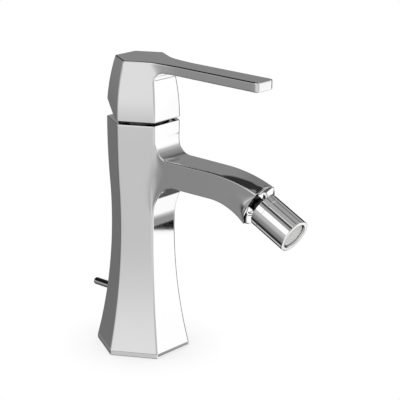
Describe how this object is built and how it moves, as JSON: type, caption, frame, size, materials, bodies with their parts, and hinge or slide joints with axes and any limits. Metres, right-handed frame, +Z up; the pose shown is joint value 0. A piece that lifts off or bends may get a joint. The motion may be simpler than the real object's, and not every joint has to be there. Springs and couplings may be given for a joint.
{
  "type": "bidet mixer",
  "caption": "Single-lever bidet mixer with a waisted hexagonal body, a straight spout, a flat bar lever, a ball-jointed nozzle and a rear pop-up rod.",
  "frame": {"origin": "centre of the deck hole, on the face of the deck", "axes": "+Z up along the body, +X along the spout, +Y to the cold side"},
  "size_m": [0.1502, 0.0546, 0.1689],
  "materials": {
    "chrome": "bright plating on brass",
    "brass": "turned",
    "steel": "turned stainless",
    "white_plastic": "moulded",
    "grey_plastic": "moulded",
    "red_plastic": "moulded",
    "ceramic": "lapped alumina ceramic",
    "rubber": "moulded"
  },
  "bodies": {
    "mixer": {"body": "chrome", "base_gasket": "rubber", "port_seals": "rubber", "cartridge_seal": "rubber", "cartridge_base": "white_plastic", "fixed_disc": "ceramic", "cartridge_housing": "white_plastic", "limit_ring": "red_plastic", "cartridge_nut": "brass", "cover_dome": "chrome", "spout_collar": "chrome", "collar_seal": "rubber", "rocker_bush": "brass", "rocker_pin": "steel"},
    "swivel": {"spindle_guide": "grey_plastic", "spindle_pin": "steel"},
    "handle": {"lever": "chrome", "spindle": "brass", "lever_screw": "steel", "screw_plug": "chrome"},
    "disc": {"moving_disc": "ceramic", "disc_carrier": "grey_plastic"},
    "stem": {"swivel_stem": "chrome"},
    "nozzle": {"nozzle_housing": "chrome", "ball_seat": "white_plastic", "ball_washer": "rubber", "flow_screen": "steel", "nozzle_insert": "white_plastic", "nozzle_seal": "rubber"},
    "rocker": {"popup_rocker": "chrome"},
    "lift": {"lift_rod": "steel"}
  },
  "joints": [
    {"name": "handle_swivel", "type": "hinge", "parent": "mixer", "child": "swivel", "pos_m": [0, 0, 0.132], "axis": [0, 0, 1], "range_deg": [-45, 45]},
    {"name": "handle_lift", "type": "hinge", "parent": "swivel", "child": "handle", "pos_m": [0, 0, 0.132], "axis": [0, -1, 0], "range_deg": [0, 22]},
    {"name": "disc_slide", "type": "slide", "parent": "swivel", "child": "disc", "axis": [1, 0, 0], "range_m": [0, 0.00285]},
    {"name": "nozzle_turn", "type": "hinge", "parent": "mixer", "child": "stem", "pos_m": [0.08962, 0, 0.09845], "axis": [0.91, 0, -0.4147], "continuous": true},
    {"name": "nozzle_tilt", "type": "hinge", "parent": "stem", "child": "nozzle", "pos_m": [0.08962, 0, 0.09845], "axis": [0, 1, 0], "range_deg": [-15, 15]},
    {"name": "popup_rock", "type": "hinge", "parent": "mixer", "child": "rocker", "pos_m": [-0.0173, 0, 0.0282], "axis": [0, 1, 0], "range_deg": [-18, 18]},
    {"name": "lift_slide", "type": "slide", "parent": "mixer", "child": "lift", "axis": [0, 0, 1], "range_m": [-0.00305, 0.00305]}
  ],
  "couplings": [
    {"joint": "disc_slide", "follows": "handle_lift", "m_per_rad": 0.00732},
    {"joint": "lift_slide", "follows": "popup_rock", "m_per_rad": -0.00964}
  ]
}
